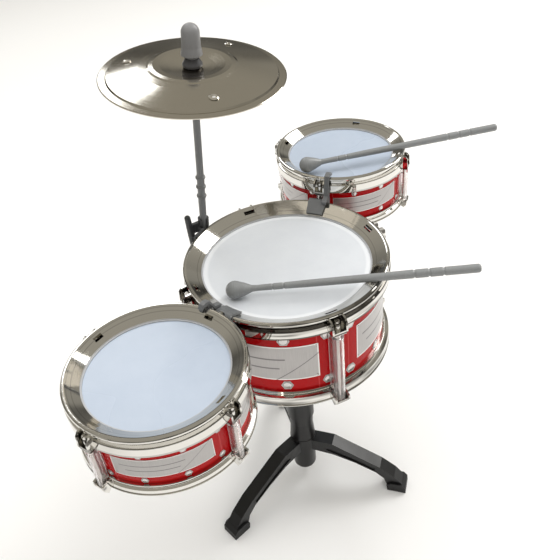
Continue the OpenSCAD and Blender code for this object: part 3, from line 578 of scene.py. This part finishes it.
def makeStudTree():
    tree = bpy.data.node_groups.new("studsOnWall", "GeometryNodeTree")
    tree.interface.new_socket("Geometry", in_out="INPUT", socket_type="NodeSocketGeometry")
    for label, value in (("Stud Radius", 0.001), ("Stud Height", 0.0003)):
        tree.interface.new_socket(label, in_out="INPUT", socket_type="NodeSocketFloat").default_value = value
    tree.interface.new_socket("Metal", in_out="INPUT", socket_type="NodeSocketMaterial")
    tree.interface.new_socket("Geometry", in_out="OUTPUT", socket_type="NodeSocketGeometry")
    given = tree.nodes.new("NodeGroupInput").outputs
    out = tree.nodes.new("NodeGroupOutput").inputs
    link = tree.links.new

    def scaled(node, x, y, z):
        shape = tree.nodes.new("ShaderNodeCombineXYZ")
        for i, value in enumerate((x, y, z)):
            feed(tree, shape.inputs[i], value)
        moved = tree.nodes.new("GeometryNodeTransform")
        link(node.outputs["Mesh"], moved.inputs["Geometry"])
        link(shape.outputs[0], moved.inputs["Scale"])
        return moved.outputs[0]

    dome = tree.nodes.new("GeometryNodeMeshUVSphere")
    dome.inputs["Segments"].default_value = 16
    dome.inputs["Rings"].default_value = 8
    collar = tree.nodes.new("GeometryNodeMeshCone")
    collar.inputs["Vertices"].default_value = 20
    collar.inputs["Radius Top"].default_value = 0.86
    collar.inputs["Radius Bottom"].default_value = 1.0
    collar.inputs["Depth"].default_value = 1.0
    small = calc(tree, "MULTIPLY", given["Stud Radius"], 0.6)
    join = tree.nodes.new("GeometryNodeJoinGeometry")
    link(scaled(dome, small, small, given["Stud Height"]), join.inputs[0])
    collarHeight = calc(tree, "MULTIPLY", given["Stud Height"], 0.6)
    link(scaled(collar, given["Stud Radius"], given["Stud Radius"], collarHeight), join.inputs[0])
    facing = tree.nodes.new("GeometryNodeInputNamedAttribute")
    facing.data_type = "FLOAT_VECTOR"
    facing.inputs["Name"].default_value = "facing"
    align = tree.nodes.new("FunctionNodeAlignRotationToVector")
    align.axis = "Z"
    link(facing.outputs["Attribute"], align.inputs["Vector"])
    spread = tree.nodes.new("GeometryNodeInstanceOnPoints")
    link(given["Geometry"], spread.inputs["Points"])
    link(join.outputs[0], spread.inputs["Instance"])
    link(align.outputs[0], spread.inputs["Rotation"])
    real = tree.nodes.new("GeometryNodeRealizeInstances")
    link(spread.outputs[0], real.inputs[0])
    paint = tree.nodes.new("GeometryNodeSetMaterial")
    link(real.outputs[0], paint.inputs["Geometry"])
    link(given["Metal"], paint.inputs["Material"])
    link(paint.outputs[0], out["Geometry"])
    return tree


def studs(pieceName, tree, points, radius, height, material):
    # points holds (place, facing) pairs; the result is one plain mesh
    seed = bpy.data.meshes.new(pieceName + "Points")
    seed.from_pydata([place for place, facing in points], [], [])
    facings = seed.attributes.new("facing", "FLOAT_VECTOR", "POINT")
    for i, (place, facing) in enumerate(points):
        facings.data[i].vector = facing
    carrier = bpy.data.objects.new(pieceName + "Carrier", seed)
    bpy.context.scene.collection.objects.link(carrier)
    modifier = carrier.modifiers.new("studs", "NODES")
    modifier.node_group = tree
    sockets = {item.name: item.identifier for item in tree.interface.items_tree if item.in_out == "INPUT"}
    modifier[sockets["Stud Radius"]] = radius
    modifier[sockets["Stud Height"]] = height
    modifier[sockets["Metal"]] = material
    bpy.context.view_layer.update()
    made = bpy.data.meshes.new_from_object(carrier.evaluated_get(bpy.context.evaluated_depsgraph_get()))
    carrier.modifiers.remove(modifier)
    bpy.data.objects.remove(carrier)
    made.name = pieceName
    piece = bpy.data.objects.new(pieceName, made)
    bpy.context.scene.collection.objects.link(piece)
    piece.data.shade_smooth()
    return piece


printMetal = brightMetal("printMetal", (0.62, 0.60, 0.59), 0.2)
studTree = makeStudTree()
printPlaces = dict(boltAngles=(-37.5, -13.5, 13.5, 37.5), plateHalfAngle=32.5, proud=0.0003, rivetInset=0.0019)
for name, drum in drums.items():
    centre = middleOf(name + "_head")
    wall = drum["radius"] + printPlaces["proud"]
    boltPoints, rivetPoints = [], []
    rise = drum["halfPanel"] + drum["bolt"] * 0.63
    inset = printPlaces["rivetInset"] * drum["halfPanel"] / 0.017
    cornerTurn = math.radians(printPlaces["plateHalfAngle"]) - inset / wall
    for i in range(4):
        panelTurn = drum["panelAngle"] + i * math.pi / 2
        for side in (-1, 1):
            for angle in printPlaces["boltAngles"]:
                turn = panelTurn + math.radians(angle)
                facing = Vector((math.cos(turn), math.sin(turn), 0))
                place = Vector((centre.x, centre.y, drum["printMiddle"] + side * rise)) + facing * wall
                boltPoints.append((place, facing))
            for end in (-1, 1):
                turn = panelTurn + end * cornerTurn
                facing = Vector((math.cos(turn), math.sin(turn), 0))
                height = drum["printMiddle"] + side * (drum["halfPanel"] - inset)
                rivetPoints.append((Vector((centre.x, centre.y, height)) + facing * wall, facing))
    bolts = studs(name + "_bolt_crowns", studTree, boltPoints,
                  drum["bolt"] * 0.36, drum["bolt"] * 0.04, printMetal)
    rivets = studs(name + "_corner_rivets", studTree, rivetPoints,
                   drum["rivet"], drum["rivet"] * 0.35, printMetal)
    for piece in (bolts, rivets):
        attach(piece, drum["body"])
print("studs placed on", len(drums), "drums")


# floor, lights and camera

def makeFloor():
    mesh = bpy.data.meshes.new("floor")
    half = 6.0
    corners = [(-half, -half, 0), (half, -half, 0), (half, half, 0), (-half, half, 0)]
    mesh.from_pydata(corners, [], [(0, 1, 2, 3)])
    floor = bpy.data.objects.new("floor", mesh)
    bpy.context.scene.collection.objects.link(floor)
    material, tree, shader, place = newMaterial("floorPale")
    tone = placeGroup(tree, toneDrift, Vector=place, Colour=(0.93, 0.93, 0.93, 1), Scale=2.0,
                      Amount=0.02, Specks=0.0)
    feed(tree, shader.inputs["Base Color"], tone.outputs["Colour"])
    shader.inputs["Roughness"].default_value = 0.9
    shader.inputs["Specular IOR Level"].default_value = 0.1
    mesh.materials.append(material)
    return floor


roomLook = dict(ceiling=(0.36, 0.34, 0.29), wall=(0.05, 0.048, 0.043), backdrop=(1.0, 1.0, 1.0))


def makeRoom():
    world = bpy.data.worlds.new("room")
    bpy.context.scene.world = world
    world.use_nodes = True
    tree = world.node_tree
    tree.nodes.clear()
    coords = addNode(tree, "ShaderNodeTexCoord")
    split = addNode(tree, "ShaderNodeSeparateXYZ")
    feed(tree, split.inputs[0], coords.outputs["Generated"])
    up = ramp(tree, split.outputs[2], 0.12, 0.62, 0.0, 1.0, True)
    mottled = noise(tree, coords.outputs["Generated"], 2.2, 2.0)
    wall = mixColour(tree, ramp(tree, mottled, 0.4, 0.65), (*roomLook["wall"], 1), (0.26, 0.25, 0.22, 1))
    sky = mixColour(tree, up, wall, (*roomLook["ceiling"], 1))
    room = addNode(tree, "ShaderNodeBackground")
    feed(tree, room.inputs["Color"], sky)
    plain = addNode(tree, "ShaderNodeBackground")
    plain.inputs["Color"].default_value = (*roomLook["backdrop"], 1)
    path = addNode(tree, "ShaderNodeLightPath")
    pick = addNode(tree, "ShaderNodeMixShader")
    feed(tree, pick.inputs[0], path.outputs["Is Camera Ray"])
    feed(tree, pick.inputs[1], room.outputs[0])
    feed(tree, pick.inputs[2], plain.outputs[0])
    out = addNode(tree, "ShaderNodeOutputWorld")
    feed(tree, out.inputs[0], pick.outputs[0])


lamps = {
    "overhead": dict(azimuth=20, elevation=86, distance=2.4, width=3.4, height=3.4, power=66, shiny=False,
                     colour=(1.0, 0.99, 0.98)),
    "rightWindow": dict(azimuth=-27, elevation=36, distance=2.6, width=1.1, height=1.3, power=30, shiny=True,
                        colour=(1.0, 0.99, 0.97)),
    "backWindow": dict(azimuth=54, elevation=38, distance=2.6, width=0.55, height=0.9, power=5, shiny=True,
                       colour=(0.96, 0.98, 1.0)),
    "frontFill": dict(azimuth=-140, elevation=30, distance=2.6, width=1.8, height=1.8, power=9, shiny=False,
                      colour=(1.0, 1.0, 1.0)),
}


def makeLamps():
    aim = Vector((0, 0, 0.22))
    for name, lamp in lamps.items():
        turn, lift = math.radians(lamp["azimuth"]), math.radians(lamp["elevation"])
        away = Vector((math.cos(turn) * math.cos(lift), math.sin(turn) * math.cos(lift), math.sin(lift)))
        light = bpy.data.lights.new(name, "AREA")
        light.shape = "RECTANGLE"
        light.size, light.size_y = lamp["width"], lamp["height"]
        light.energy = lamp["power"]
        light.color = lamp["colour"]
        holder = bpy.data.objects.new(name, light)
        holder.location = aim + away * lamp["distance"]
        holder.rotation_euler = away.to_track_quat("Z", "Y").to_euler()
        holder.visible_glossy = lamp["shiny"]
        bpy.context.scene.collection.objects.link(holder)


cameraLook = dict(fromAxis=(-0.3631, -0.2160, 0.591), turn=-59.08, down=36.48, roll=-5.57, lens=42.64,
                  shift=(-0.0070, -0.0491))


def makeCamera():
    data = bpy.data.cameras.new("camera")
    data.sensor_width = 36
    data.lens = cameraLook["lens"]
    data.shift_x, data.shift_y = cameraLook["shift"]
    data.clip_start = 0.01
    camera = bpy.data.objects.new("camera", data)
    bpy.context.scene.collection.objects.link(camera)
    turn = Matrix.Rotation(math.radians(cameraLook["turn"]), 4, "Z")
    tilt = Matrix.Rotation(math.radians(90 - cameraLook["down"]), 4, "X")
    roll = Matrix.Rotation(math.radians(cameraLook["roll"]), 4, "Z")
    place = Vector((axisPoint.x, axisPoint.y, 0)) + Vector(cameraLook["fromAxis"])
    camera.matrix_world = Matrix.Translation(place) @ turn @ tilt @ roll
    bpy.context.scene.camera = camera


makeFloor()
makeRoom()
makeLamps()
makeCamera()
bpy.context.scene.view_settings.view_transform = "Standard"
print("floor, lights and camera ready")
